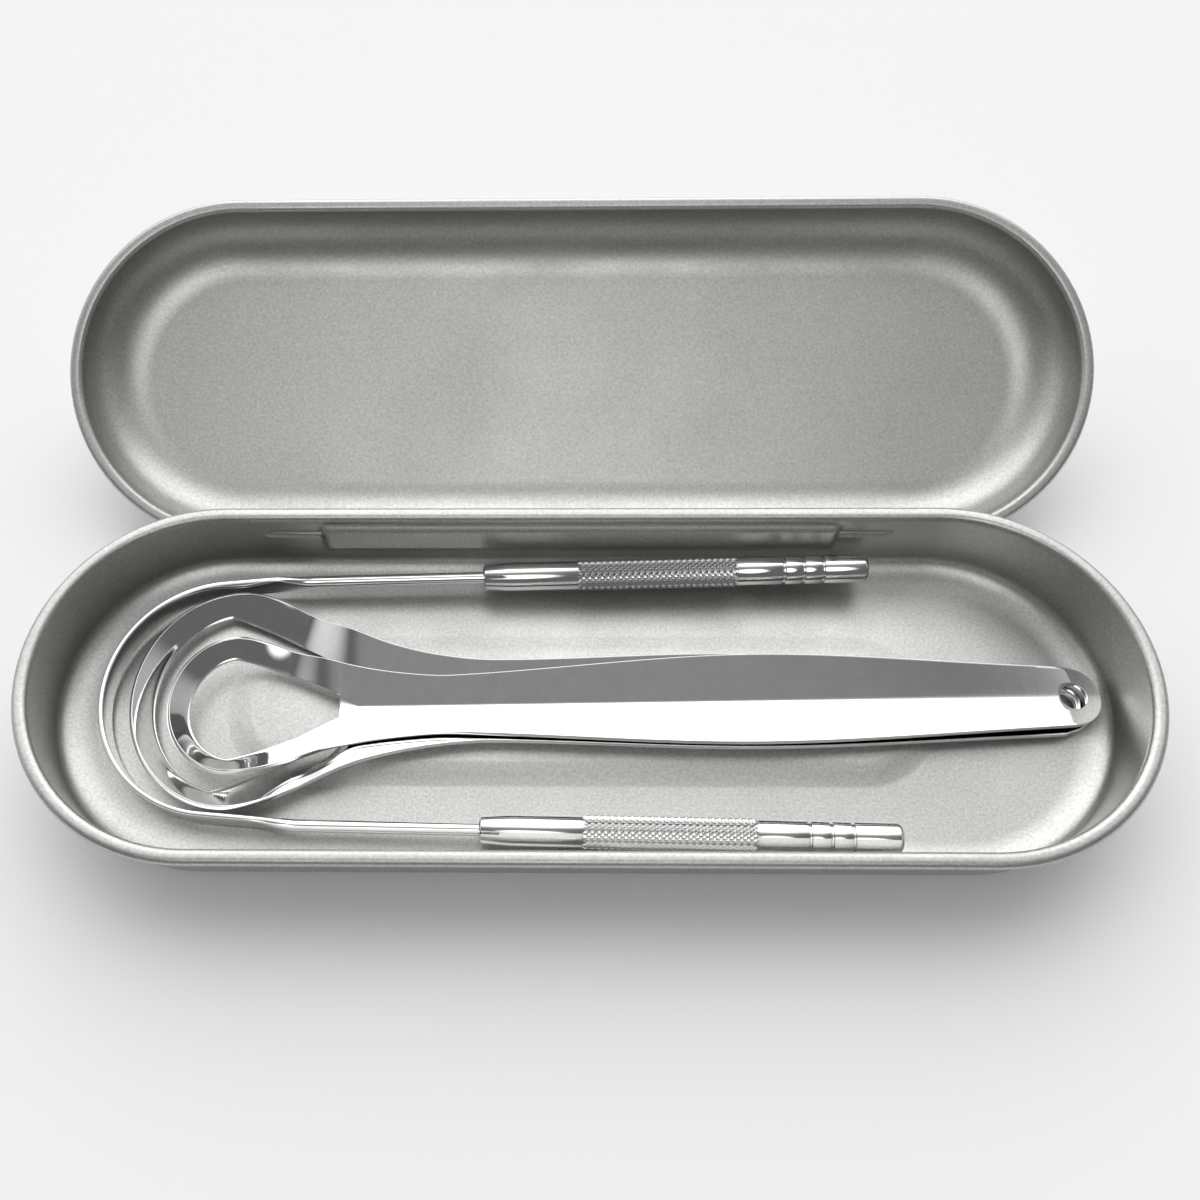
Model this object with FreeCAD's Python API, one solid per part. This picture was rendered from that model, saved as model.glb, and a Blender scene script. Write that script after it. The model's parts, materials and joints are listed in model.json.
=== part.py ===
import FreeCAD, Part
import math
import os
from FreeCAD import Vector

# Travel set of three tongue scrapers in a hinged tin, shown with the lid folded back.
# X runs along the tin, +Y is the hinge side, Z is up, and the origin is under the middle of the tin.

# Tin, over its rolled rims
TIN_LENGTH = 178.0
TIN_WIDTH = 60.0
BASE_HEIGHT = 16.0
LID_HEIGHT = 9.5
SHEET = 0.4
BASE_CURL = 1.0
LID_CURL = 0.8
BASE_WALL_INSET = 2.1
LID_WALL_INSET = 1.8
BASE_FILLET = 5.5
LID_FILLET = 6.6
CURL_END = -150.0
RIM_GAP = 0.2
TABLE_GAP = 0.23

# Raised panel pressed into the floor
PANEL_LENGTH = 117.4
PANEL_WIDTH = 26.6
PANEL_RISE = 0.65
PANEL_SLOPE = 4.0

# Thumb dent in the front wall
DENT_DIAMETER = 6.4
DENT_DEPTH = 0.8
DENT_HEIGHT = 10.4

# Hinge: a wire pin in the rear wall, and the leaf of the lid that is rolled round it
PIN_RADIUS = 0.7
PIN_SEAT = 8.4
PIN_INSET = 1.8
PIN_DROP = 5.0
PIN_FIT = 0.05
POCKET_FIT = 0.1
LEAF_SHEET = 0.35
LEAF_END_GAP = 0.3
LEAF_RIM_GAP = 0.15
LEAF_KNEE_HEIGHT = 2.0
WELL_LENGTH = 86.2
WELL_GAP = 0.2
WELL_TOP_DROP = 2.4
WELL_SLOPE = 2.5

# Bow scraper: a steel strip bent to a U, with a round rod and a turned handle on each arm
BOW_RADIUS = 19.9
BOW_ROLL = 2.4
BOW_PITCH = 0.8
BOW_END_ROOM = 8.2
BOW_OFFSET = 0.4
BOW_WALL_GAP = 0.5
STRIP_HEIGHT = 5.0
STRIP_SHEET = 0.8
STRIP_FLARE = 5.0
STRIP_ARM = 15.0
STRIP_TAPER = 7.0
ROD_RADIUS = 1.0
ROD_FREE_LENGTH = 29.0
ROD_GRIP_LENGTH = 12.0
ROD_FIT = 0.05
HANDLE_LENGTH = 65.0
HANDLE_RADIUS = 2.45
NOSE_RADIUS = 2.15
NOSE_LENGTH = 4.7
NOSE_ROUND = 0.3
SLIT_LENGTH = 3.2
SLIT_WIDTH = 0.35
KNURL_START = 16.0
KNURL_LENGTH = 27.0
KNURL_RADIUS = 2.6
GROOVE_FIRST = 50.8
GROOVE_PITCH = 3.3
GROOVE_COUNT = 3
GROOVE_WIDTH = 0.55
GROOVE_DEPTH = 0.3
TAIL_ROUND = 0.8

# Loop scrapers: one folded and pressed steel sheet each, the narrow one lying on the wide one
LOOP_SHEET = 0.8
FLOOR_GAP = 0.25
STACK_GAP = 0.85
HANG_HOLE_RADIUS = 2.1
HANG_HOLE_INSET = 4.4
TIP_ROUND = 4.9
# The loop's opening closes towards the notch along a power curve, drawn through a few sections
NOTCH_CURVE = 1.3
NOTCH_STEPS = 4
NOTCH_ROOM = 0.1
# The arm draws in from the loop to the neck: share of its length, share of the way in
ARM_SHAPE = ((0.0, 0.0), (0.27, 0.37), (0.52, 0.72), (0.75, 0.92), (1.0, 1.0))
# Places along a scraper are measured back from its tip, widths are half widths, and a rise is
# the height of the edge over the crease
WIDE = dict(
    tip_room=3.1, axis_y=0.55, yaw=-0.1, loop_back=138.2, loop_radius=18.6, band=3.0, loop_rise=3.1,
    notch=0.56, neck_back=97.4, neck=7.1, neck_rise=2.9, peak_back=55.4, peak=8.1, peak_rise=2.3,
    end_back=10.4, end=5.6, end_rise=0.9, tip=4.9, tip_rise=0.4,
)
NARROW = dict(
    tip_room=1.9, axis_y=0.1, yaw=0.7, loop_back=139.6, loop_radius=11.7, band=2.7, loop_rise=2.9,
    notch=0.46, neck_back=105.6, neck=4.95, neck_rise=2.1, peak_back=56.6, peak=7.6, peak_rise=2.15,
    end_back=10.6, end=5.4, end_rise=0.85, tip=4.7, tip_rise=0.4,
)

HALF_WIDTH = TIN_WIDTH / 2
END_X = (TIN_LENGTH - TIN_WIDTH) / 2
BASE_WALL = HALF_WIDTH - BASE_WALL_INSET
LID_WALL = HALF_WIDTH - LID_WALL_INSET
LID_RIM_Z = BASE_HEIGHT + RIM_GAP
LID_TOP_Z = LID_RIM_Z + LID_HEIGHT
PIN_LENGTH = WELL_LENGTH + 2 * PIN_SEAT
PIN_Y = HALF_WIDTH - PIN_INSET
PIN_Z = BASE_HEIGHT - PIN_DROP
LEAF_INNER = PIN_RADIUS + PIN_FIT
LEAF_OUTER = LEAF_INNER + LEAF_SHEET
LEAF_FACE = HALF_WIDTH + LEAF_RIM_GAP
LEAF_BACK = LEAF_FACE + LEAF_SHEET
INNER_WALL = BASE_WALL - SHEET
INNER_END = TIN_LENGTH / 2 - BASE_WALL_INSET - SHEET
X_AXIS = Vector(1, 0, 0)
Y_AXIS = Vector(0, 1, 0)
Z_AXIS = Vector(0, 0, 1)
PIN_AXIS = Vector(0, PIN_Y, PIN_Z)


def lid_opening():
    """Angle at which the round back corner of the lid comes down to the table."""
    corner = LID_FILLET + SHEET
    back = corner - (LID_WALL - PIN_Y)
    up = LID_TOP_Z - corner - PIN_Z
    drop = TABLE_GAP + corner - PIN_Z
    return math.degrees(math.atan2(back, up) + math.acos(drop / math.hypot(back, up)))


LID_OPEN = lid_opening()
KNEE_OPEN = FreeCAD.Rotation(X_AXIS, -LID_OPEN).multVec(Vector(0, LEAF_BACK - PIN_Y, LEAF_KNEE_HEIGHT))
WELL_FACE = PIN_Y + min(KNEE_OPEN.y, -LEAF_OUTER) - WELL_GAP - SHEET
WELL_TOP = BASE_HEIGHT - WELL_TOP_DROP
WELL_FACE_FOOT = PIN_Z + KNEE_OPEN.z - WELL_GAP


def stadium(end_x, radius, z):
    """Closed outline with two straight sides and two half-round ends."""
    right = Vector(end_x, 0, z)
    left = Vector(-end_x, 0, z)
    side = Vector(0, radius, 0)
    reach = Vector(radius, 0, 0)
    return Part.Wire([
        Part.LineSegment(left - side, right - side).toShape(),
        Part.Arc(right - side, right + reach, right + side).toShape(),
        Part.LineSegment(right + side, left + side).toShape(),
        Part.Arc(left + side, left - reach, left - side).toShape(),
    ])


def stadium_block(radius, bottom, top):
    return Part.Face(stadium(END_X, radius, bottom)).extrude(Z_AXIS * (top - bottom))


def round_floor(block, level, radius):
    """Fillet the edges of a block that lie at one level."""
    edges = [e for e in block.Edges if all(abs(v.Z - level) < 1e-6 for v in e.Vertexes)]
    return block.makeFillet(radius, edges)


def closed(points):
    return Part.makePolygon(points + points[:1])


def prism(points, half_length):
    """Solid with one outline in the YZ plane, as long to the left as to the right."""
    corners = [Vector(-half_length, y, z) for y, z in points]
    return Part.Face(closed(corners)).extrude(X_AXIS * 2 * half_length)


def polar(centre, radius, degrees):
    angle = math.radians(degrees)
    return centre + Vector(0, math.cos(angle), math.sin(angle)) * radius


def arc_edge(centre, radius, first, last):
    middle = (first + last) / 2
    ends = [polar(centre, radius, a) for a in (first, middle, last)]
    return Part.Arc(*ends).toShape()


def line_edge(start, end):
    return Part.LineSegment(start, end).toShape()


def rolled_rim(wall, curl, top):
    """Wall edge bent outward and rolled down into a hollow bead, round the whole outline."""
    bend = Vector(0, wall - SHEET + curl, top - curl)
    bead = Vector(0, HALF_WIDTH - curl, top - curl)
    inner = curl - SHEET
    section = Part.Face(Part.Wire([
        arc_edge(bend, curl, 180, 90),
        line_edge(polar(bend, curl, 90), polar(bead, curl, 90)),
        arc_edge(bead, curl, 90, CURL_END),
        line_edge(polar(bead, curl, CURL_END), polar(bead, inner, CURL_END)),
        arc_edge(bead, inner, CURL_END, 90),
        line_edge(polar(bead, inner, 90), polar(bend, inner, 90)),
        arc_edge(bend, inner, 90, 180),
        line_edge(polar(bend, inner, 180), polar(bend, curl, 180)),
    ]))
    pieces = []
    for side in (0, 180):
        start = section.translated(X_AXIS * END_X)
        start.rotate(Vector(0, 0, 0), Z_AXIS, side)
        straight = start.extrude(Vector(-2 * END_X * math.cos(math.radians(side)), 0, 0))
        centre = Vector(END_X * math.cos(math.radians(side)), 0, 0)
        pieces += [straight, start.revolve(centre, Z_AXIS, -180)]
    return pieces


def pan(wall, curl, height, fillet):
    """Open sheet pan standing on z = 0, with a rounded foot and a rolled rim."""
    rim_foot = height - curl
    outside = round_floor(stadium_block(wall, 0, rim_foot), 0, fillet + SHEET)
    inside = round_floor(stadium_block(wall - SHEET, SHEET, height), SHEET, fillet)
    return outside.cut(inside).multiFuse(rolled_rim(wall, curl, height)).removeSplitter()


def floor_panel(level):
    half_width = PANEL_WIDTH / 2
    centre_x = PANEL_LENGTH / 2 - half_width
    foot = stadium(centre_x, half_width, level)
    crown = stadium(centre_x, half_width - PANEL_SLOPE, level + PANEL_RISE)
    return Part.makeLoft([foot, crown], True, True)


def thumb_dent(shape):
    reach = DENT_DIAMETER / 2
    ball = (reach ** 2 + DENT_DEPTH ** 2) / (2 * DENT_DEPTH)
    centre = Vector(0, -BASE_WALL + DENT_DEPTH - ball, DENT_HEIGHT)
    corner = Vector(-2 * reach, SHEET / 2 - BASE_WALL, 0)
    keep = Part.makeBox(4 * reach, BASE_WALL, BASE_HEIGHT, corner)
    bump = Part.makeSphere(ball + SHEET, centre).common(keep)
    return shape.fuse(bump).cut(Part.makeSphere(ball, centre))


def well_profile(face, top, outer):
    """Hinge well seen from its end: flat top, upright face, then a slope back to the wall."""
    slope_foot = WELL_FACE_FOOT - (outer - face) * WELL_SLOPE
    return ((outer, top), (face, top), (face, WELL_FACE_FOOT), (outer, slope_foot))


def pin_rod(radius, half_length):
    return Part.makeCylinder(radius, 2 * half_length, PIN_AXIS - X_AXIS * half_length, X_AXIS)


def hinge_well(shape):
    """Press the well into the rear wall and form the two pockets that hold the pin's ends."""
    half_well = WELL_LENGTH / 2
    bulge = prism(well_profile(WELL_FACE, WELL_TOP, INNER_WALL + SHEET / 2), half_well + SHEET)
    cavity = prism(well_profile(WELL_FACE + SHEET, WELL_TOP - SHEET, LEAF_FACE), half_well)
    radius = PIN_RADIUS + POCKET_FIT
    end = PIN_LENGTH / 2 + POCKET_FIT
    behind = Part.makeBox(
        TIN_LENGTH, HALF_WIDTH, BASE_HEIGHT, Vector(-TIN_LENGTH / 2, INNER_WALL + SHEET / 2, 0)
    )
    pockets = pin_rod(radius + SHEET, end + SHEET).common(behind)
    shape = shape.multiFuse([bulge, pockets]).cut(cavity).cut(pin_rod(radius, end))
    slot = Part.makeBox(
        end - half_well - SHEET, PIN_Y - WELL_FACE, 2 * radius,
        Vector(half_well + SHEET, WELL_FACE, PIN_Z - radius),
    )
    return shape.cut(slot).cut(slot.mirror(Vector(0, 0, 0), X_AXIS))


def base_pan():
    shape = pan(BASE_WALL, BASE_CURL, BASE_HEIGHT, BASE_FILLET)
    shape = shape.fuse(floor_panel(SHEET)).cut(floor_panel(0))
    return hinge_well(thumb_dent(shape))


def lid_leaf():
    """Leaf of the lid: rolled round the pin, out past the base's rim, and up to the lid's bead."""
    half = WELL_LENGTH / 2 - LEAF_END_GAP
    knee = PIN_Z + LEAF_KNEE_HEIGHT
    bead_y = HALF_WIDTH - LID_CURL
    bead_z = LID_RIM_Z + LID_CURL
    top = bead_z + SHEET
    upright = prism(((LEAF_FACE, knee), (LEAF_BACK, knee), (LEAF_BACK, top), (LEAF_FACE, top)), half)
    bridge = prism(((bead_y, bead_z), (LEAF_BACK, bead_z), (LEAF_BACK, top), (bead_y, top)), half)
    bead_core = Part.makeCylinder(LID_CURL - SHEET, 2 * half, Vector(-half, bead_y, bead_z), X_AXIS)
    lean = prism((
        (PIN_Y, PIN_Z + LEAF_INNER), (PIN_Y + LEAF_OUTER, PIN_Z), (LEAF_BACK, knee), (LEAF_FACE, knee),
    ), half)
    leaf = pin_rod(LEAF_OUTER, half).multiFuse([lean, upright, bridge.cut(bead_core)]).removeSplitter()
    return leaf.cut(pin_rod(LEAF_INNER, half))


def lid_pan():
    shape = pan(LID_WALL, LID_CURL, LID_HEIGHT, LID_FILLET)
    shape.rotate(Vector(0, 0, 0), X_AXIS, 180)
    shape.translate(Z_AXIS * LID_TOP_Z)
    shape = shape.fuse(lid_leaf())
    shape.rotate(PIN_AXIS, X_AXIS, -LID_OPEN)
    return shape


def hinge_pin():
    return pin_rod(PIN_RADIUS, PIN_LENGTH / 2)


def turned(profile):
    """Body of revolution about X from (x, radius) corners."""
    points = [Vector(x, r, 0) for x, r in profile]
    return Part.Face(closed(points)).revolve(Vector(0, 0, 0), X_AXIS, 360)


def handle():
    """Turned sleeve on the X axis, its nose at x = 0."""
    profile = [
        (0, 0), (0, NOSE_RADIUS - NOSE_ROUND), (NOSE_ROUND, NOSE_RADIUS), (NOSE_LENGTH, HANDLE_RADIUS),
        (KNURL_START, HANDLE_RADIUS), (KNURL_START, KNURL_RADIUS),
        (KNURL_START + KNURL_LENGTH, KNURL_RADIUS), (KNURL_START + KNURL_LENGTH, HANDLE_RADIUS),
    ]
    for index in range(GROOVE_COUNT):
        start = GROOVE_FIRST + index * GROOVE_PITCH - GROOVE_WIDTH / 2
        end = start + GROOVE_WIDTH
        floor = HANDLE_RADIUS - GROOVE_DEPTH
        profile += [(start, HANDLE_RADIUS), (start, floor), (end, floor), (end, HANDLE_RADIUS)]
    profile += [(HANDLE_LENGTH - TAIL_ROUND, HANDLE_RADIUS)]
    profile += [(HANDLE_LENGTH, HANDLE_RADIUS - TAIL_ROUND), (HANDLE_LENGTH, 0)]
    bore = Part.makeCylinder(ROD_RADIUS + ROD_FIT, ROD_GRIP_LENGTH + ROD_FIT, Vector(0, 0, 0), X_AXIS)
    slit = Part.makeBox(
        SLIT_LENGTH, 2 * HANDLE_RADIUS, SLIT_WIDTH, Vector(0, -HANDLE_RADIUS, -SLIT_WIDTH / 2)
    )
    return turned(profile).cut(bore).cut(slit)


def arm_point(distance):
    """Middle of the bow's rear strip arm, at a distance along it from the end of the U."""
    flare = math.radians(STRIP_FLARE)
    start = Vector(-BOW_RADIUS * math.sin(flare), BOW_RADIUS * math.cos(flare), 0)
    return start + Vector(math.cos(flare), math.sin(flare), 0) * distance


def rod_flare():
    """Angle that brings the tail of the rear handle up to the hinge well's face."""
    tail = WELL_FACE - BOW_WALL_GAP - HANDLE_RADIUS - BOW_OFFSET
    return math.degrees(math.asin((tail - arm_point(STRIP_ARM).y) / (ROD_FREE_LENGTH + HANDLE_LENGTH)))


def strip_section(distance, height):
    """Upright rectangle across the rear strip arm."""
    across = Vector(-math.sin(math.radians(STRIP_FLARE)), math.cos(math.radians(STRIP_FLARE)), 0)
    side = across * (STRIP_SHEET / 2)
    up = Z_AXIS * (height / 2)
    middle = arm_point(distance)
    corners = [middle - side - up, middle + side - up, middle + side + up, middle - side + up]
    return closed(corners)


def to_rod(shape):
    """Put a shape that starts at the X axis's origin at the foot of the rear rod."""
    placed = shape.copy()
    placed.rotate(Vector(0, 0, 0), Z_AXIS, rod_flare())
    placed.translate(arm_point(STRIP_ARM))
    return placed


def to_tin(shape):
    """Lay a piece of the bow in the tin, leaning between its two long walls."""
    lowest = STRIP_HEIGHT / 2 + BOW_RADIUS * math.sin(math.radians(BOW_ROLL))
    placed = shape.copy()
    placed.rotate(Vector(0, 0, 0), Y_AXIS, -BOW_PITCH)
    placed.rotate(Vector(0, 0, 0), X_AXIS, BOW_ROLL)
    placed.translate(Vector(BOW_RADIUS + BOW_END_ROOM - INNER_END, BOW_OFFSET, SHEET + FLOOR_GAP + lowest))
    return placed


def mirrored(shape):
    return shape.mirror(Vector(0, 0, 0), Y_AXIS)


def bow_blade():
    """Strip bent to a U, each arm drawn down to a round rod that goes into its handle."""
    foot = Vector(0, 0, -STRIP_HEIGHT / 2)
    outer = Part.makeCylinder(BOW_RADIUS + STRIP_SHEET / 2, STRIP_HEIGHT, foot)
    inner = Part.makeCylinder(BOW_RADIUS - STRIP_SHEET / 2, STRIP_HEIGHT, foot)
    far = arm_point(0) * 2 + foot
    beyond = Vector(-2 * BOW_RADIUS, far.y, foot.z)
    sector = [foot, far, beyond, Vector(beyond.x, -far.y, foot.z), Vector(far.x, -far.y, foot.z)]
    front = Part.Face(closed(sector)).extrude(Z_AXIS * STRIP_HEIGHT)
    arm_end = STRIP_ARM - STRIP_TAPER
    full = strip_section(arm_end, STRIP_HEIGHT)
    arm = Part.makeLoft([strip_section(0, STRIP_HEIGHT), full], True, True)
    taper = Part.makeLoft([full, strip_section(STRIP_ARM, 2 * ROD_RADIUS)], True, True)
    rod_length = ROD_FREE_LENGTH + ROD_GRIP_LENGTH
    rod = to_rod(Part.makeCylinder(ROD_RADIUS, rod_length, Vector(0, 0, 0), X_AXIS))
    knob = Part.makeSphere(ROD_RADIUS, arm_point(STRIP_ARM))
    sides = [arm, taper, rod, knob]
    blade = outer.cut(inner).common(front).multiFuse(sides + [mirrored(side) for side in sides])
    return to_tin(blade.removeSplitter())


def bow_handle():
    return to_rod(handle().translated(X_AXIS * ROD_FREE_LENGTH))


def place_x(size, name):
    """Place of a section along the tin, from its distance to the scraper's tip."""
    return INNER_END - size["tip_room"] - size.get(name + "_back", 0.0)


def loop_stations(size):
    """Half sections (x, inner, outer, rise) from the loop's middle to the notch, then on to the tip."""
    length = size["loop_back"] - size["neck_back"]
    drop = size["loop_radius"] - size["neck"]
    fall = size["loop_rise"] - size["neck_rise"]
    opening = size["loop_radius"] - size["band"]

    def at(share):
        outer = size["loop_radius"] - drop * arm_share(share)
        inner = max(0.0, opening * (1 - (share / size["notch"]) ** NOTCH_CURVE))
        return (place_x(size, "loop") + length * share, inner, outer, size["loop_rise"] - fall * share)

    arms = [at(size["notch"] * step / NOTCH_STEPS) for step in range(NOTCH_STEPS + 1)]
    clear = size["notch"] + NOTCH_ROOM
    handle_part = [arms[-1]] + [at(share) for share, _ in ARM_SHAPE if share > clear]
    for name in ("peak", "end", "tip"):
        handle_part.append((place_x(size, name), 0.0, size[name], size[name + "_rise"]))
    return arms, handle_part


def arm_share(share):
    """How far the arm has drawn in, between the corners of its outline."""
    for (a, low), (b, high) in zip(ARM_SHAPE, ARM_SHAPE[1:]):
        if share <= b:
            return low + (high - low) * (share - a) / (b - a)
    return 1.0


def sheet_height(inner, outer, rise):
    """Upright thickness of the sheet where it leans."""
    return LOOP_SHEET * math.hypot(1, rise / (outer - inner))


def half_section(station, level):
    x, inner, outer, rise = station
    up = sheet_height(inner, outer, rise)
    return [
        Vector(x, inner, level), Vector(x, outer, level + rise),
        Vector(x, outer, level + rise + up), Vector(x, inner, level + up),
    ]


def full_section(station, level):
    low, edge, top_edge, top = half_section(station, level)
    flip = [Vector(p.x, -p.y, p.z) for p in (top_edge, edge)]
    return closed([low, edge, top_edge, top] + flip)


def loop_scraper(size, level):
    """Sheet scraper with a dished loop and a folded handle, its crease at one level."""
    arms, handle_part = loop_stations(size)
    arm = Part.makeLoft([closed(half_section(s, level)) for s in arms], True, False)
    grip = Part.makeLoft([full_section(s, level) for s in handle_part], True, False)
    centre = Vector(place_x(size, "loop"), 0, 0)
    front = Part.Face(closed(half_section(arms[0], level))).revolve(centre, Z_AXIS, 180)
    shape = grip.multiFuse([arm, mirrored(arm), front]).removeSplitter()
    tip_x = place_x(size, "tip")
    tip_centre = Vector(tip_x - TIP_ROUND, 0, 0)
    tall = BASE_HEIGHT
    corner = Part.makeBox(2 * TIP_ROUND, 4 * TIP_ROUND, tall, tip_centre - Y_AXIS * 2 * TIP_ROUND)
    shape = shape.cut(corner.cut(Part.makeCylinder(TIP_ROUND, tall, tip_centre)))
    hole_centre = Vector(tip_x - HANG_HOLE_INSET, 0, 0)
    shape = shape.cut(Part.makeCylinder(HANG_HOLE_RADIUS, tall, hole_centre))
    shape.rotate(Vector(0, 0, 0), Z_AXIS, size["yaw"])
    shape.translate(Y_AXIS * size["axis_y"])
    return shape


WIDE_LEVEL = SHEET + PANEL_RISE + FLOOR_GAP
WIDE_SHEET_HEIGHT = sheet_height(0, WIDE["peak"], WIDE["peak_rise"])
NARROW_LEVEL = WIDE_LEVEL + WIDE_SHEET_HEIGHT + STACK_GAP

os.makedirs("parts", exist_ok=True)
nodes = {
    "base_pan": base_pan(),
    "lid_pan": lid_pan(),
    "hinge_pin": hinge_pin(),
    "bow_blade": bow_blade(),
    "rear_handle": to_tin(bow_handle()),
    "front_handle": to_tin(mirrored(bow_handle())),
    "wide_loop_scraper": loop_scraper(WIDE, WIDE_LEVEL),
    "narrow_loop_scraper": loop_scraper(NARROW, NARROW_LEVEL),
}
for name, shape in nodes.items():
    box = shape.BoundBox
    print(name, shape.isValid(), len(shape.Solids), round(shape.Volume, 1), box)
    shape.exportStep("parts/" + name + ".step")
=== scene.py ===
import json
import math

import bmesh
import bpy
from mathutils import Matrix, Vector


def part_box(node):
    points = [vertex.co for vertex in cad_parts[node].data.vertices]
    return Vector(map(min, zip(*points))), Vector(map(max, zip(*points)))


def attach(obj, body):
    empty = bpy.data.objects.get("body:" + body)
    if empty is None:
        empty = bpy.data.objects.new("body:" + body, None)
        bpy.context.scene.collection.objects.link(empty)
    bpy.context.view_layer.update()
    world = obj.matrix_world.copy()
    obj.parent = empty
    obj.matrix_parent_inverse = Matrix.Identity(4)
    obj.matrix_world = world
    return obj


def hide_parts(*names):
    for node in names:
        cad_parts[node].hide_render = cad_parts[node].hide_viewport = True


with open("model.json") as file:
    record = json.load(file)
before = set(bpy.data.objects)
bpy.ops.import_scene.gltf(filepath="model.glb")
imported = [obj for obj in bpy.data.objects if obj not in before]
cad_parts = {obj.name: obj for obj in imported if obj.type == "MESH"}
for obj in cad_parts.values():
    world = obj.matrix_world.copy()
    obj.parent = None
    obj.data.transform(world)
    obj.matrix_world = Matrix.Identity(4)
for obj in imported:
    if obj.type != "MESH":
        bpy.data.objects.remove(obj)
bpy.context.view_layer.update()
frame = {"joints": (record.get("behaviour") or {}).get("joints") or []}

# Tin base
# One pan drawn from satin tinplate: a raised panel in its floor, a rounded foot, upright walls, and an
# edge rolled outwards into a bead. The hinge well and the pin's pockets are pressed into the rear wall,
# and a thumb dent into the front wall.
MM = 0.001
TINY = 0.001 * MM
base_low, base_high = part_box("base_pan")
half_width = (base_high.y - base_low.y) / 2
end_x = base_high.x - half_width
rim_top = base_high.z
sheet = 0.4 * MM
base_curl = 1.0 * MM
base_bead = 2.1 * MM
base_wall = half_width - base_bead - sheet
base_foot = 5.5 * MM
base_foot_rise = 2.8 * MM
curl_end = -150
foot_steps = 14
lip_steps = 6
bead_steps = 20
end_steps = 48
panel_end = 45.4 * MM
panel_reach = 13.3 * MM
panel_slope = 4.0 * MM
panel_rise = 0.65 * MM
panel_edge = 0.06
dent_radius = 3.6 * MM
dent_depth = 0.8 * MM
dent_height = 6.9 * MM
hinge = next(joint for joint in frame["joints"] if joint["name"] == "lid_hinge")
pin_place = Vector(hinge["pos_m"])
well_half = 43.1 * MM
well_depth = 1.07 * MM
well_top = rim_top - 2.4 * MM
well_face_foot = 7.98 * MM
well_round = 0.7 * MM
well_lip = 0.6 * well_round
well_ramp = 2.5 * well_depth
pocket_radius = 0.8 * MM
pocket_end = 51.6 * MM
pocket_cone = 1.6 * MM
pocket_tip = 0.55
pocket_inset = 0.2


def smooth(share):
    """Eased step from 0 to 1."""
    share = min(max(share, 0.0), 1.0)
    return share * share * (3 - 2 * share)


def arc(reach, height, radius, first, last, steps):
    """Points of an arc in the plane of reach and height, between two angles in degrees."""
    angles = [math.radians(first + (last - first) * k / steps) for k in range(steps + 1)]
    return [(reach + radius * math.cos(a), height + radius * math.sin(a)) for a in angles]


def pan_line(wall, foot, foot_rise, curl, top, wall_rows):
    """Half section of a pan, from the edge of its flat floor up the wall and round the rolled rim."""
    low = sheet + foot_rise
    line = [(wall - foot + x * foot, low + z * foot_rise) for x, z in arc(0, 0, 1, -90, 0, foot_steps)]
    line += [(wall, low + (top - curl - low) * k / wall_rows) for k in range(1, wall_rows)]
    line += arc(wall + curl, top - curl, curl, 180, 90, lip_steps)
    return line + arc(half_width - curl, top - curl, curl, 90, curl_end, bead_steps)


def only(kind, geometry):
    """Picks the vertices, edges or faces out of an operator's result."""
    return [element for element in geometry if isinstance(element, kind)]


def sweep_round(bm, points, rear_steps, front_steps):
    """Carries a half section round the tin: half turn, rear side, half turn, front side."""
    verts = [bm.verts.new((end_x, -reach, height)) for reach, height in points]
    line = [bm.edges.new(pair) for pair in zip(verts, verts[1:])]
    for side, steps in ((1, rear_steps), (-1, front_steps)):
        centre = (side * end_x, 0, 0)
        swung = bmesh.ops.spin(
            bm, geom=verts + line, cent=centre, axis=(0, 0, 1), angle=math.pi, steps=end_steps
        )
        line = only(bmesh.types.BMEdge, swung["geom_last"])
        for _ in range(steps):
            drawn = bmesh.ops.extrude_edge_only(bm, edges=line)["geom"]
            verts = only(bmesh.types.BMVert, drawn)
            bmesh.ops.translate(bm, verts=verts, vec=(-side * 2 * end_x / steps, 0, 0))
            fresh = set(verts)
            line = [e for e in only(bmesh.types.BMEdge, drawn) if fresh.issuperset(e.verts)]
    bmesh.ops.remove_doubles(bm, verts=bm.verts, dist=TINY)


def reach_of(place):
    """Distance from the line that joins the centres of the tin's round ends."""
    return math.hypot(max(abs(place.x) - end_x, 0.0), place.y)


def close_floor(bm):
    """Fills the middle of the floor and turns the sheet's faces towards the inside of the pan."""
    inner = min(reach_of(v.co) for v in bm.verts)
    rim = [e for e in bm.edges if e.is_boundary and all(reach_of(v.co) < inner + TINY for v in e.verts)]
    floor = bmesh.ops.edgeloop_fill(bm, edges=rim)["faces"][0]
    bmesh.ops.recalc_face_normals(bm, faces=bm.faces)
    floor.normal_update()
    if floor.normal.z < 0:
        bmesh.ops.reverse_faces(bm, faces=bm.faces)


def press_panel(bm):
    """Draws the rings of the floor's panel in from the tin's ends."""
    shift = end_x - panel_end
    for vert in bm.verts:
        if reach_of(vert.co) < panel_reach + panel_edge * panel_slope + TINY:
            vert.co.x -= math.copysign(shift * min(abs(vert.co.x) / end_x, 1.0), vert.co.x)


def well_press(x, z):
    """How far the hinge well stands in from the rear wall."""
    across = smooth((well_half - abs(x)) / well_round + 0.5)
    top = smooth((well_top - z) / well_lip + 0.5)
    foot = (z - well_face_foot) / well_ramp + 1
    return well_depth * across * top * min(max(foot, 0.0), 1.0)


def pocket_press(x, z):
    """How far a pin pocket stands out from the rear wall, closed by a cone at its outer end."""
    inside = smooth((abs(x) - well_half) / well_round - pocket_inset)
    share = inside * min(max((pocket_end + pocket_cone - abs(x)) / pocket_cone, 0.0), 1.0)
    radius = pocket_radius * (pocket_tip + (1 - pocket_tip) * share)
    height = abs(z - pin_place.z)
    if share == 0.0 or height > radius:
        return 0.0
    return share * (pin_place.y - base_wall + math.sqrt(radius ** 2 - height ** 2))


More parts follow.
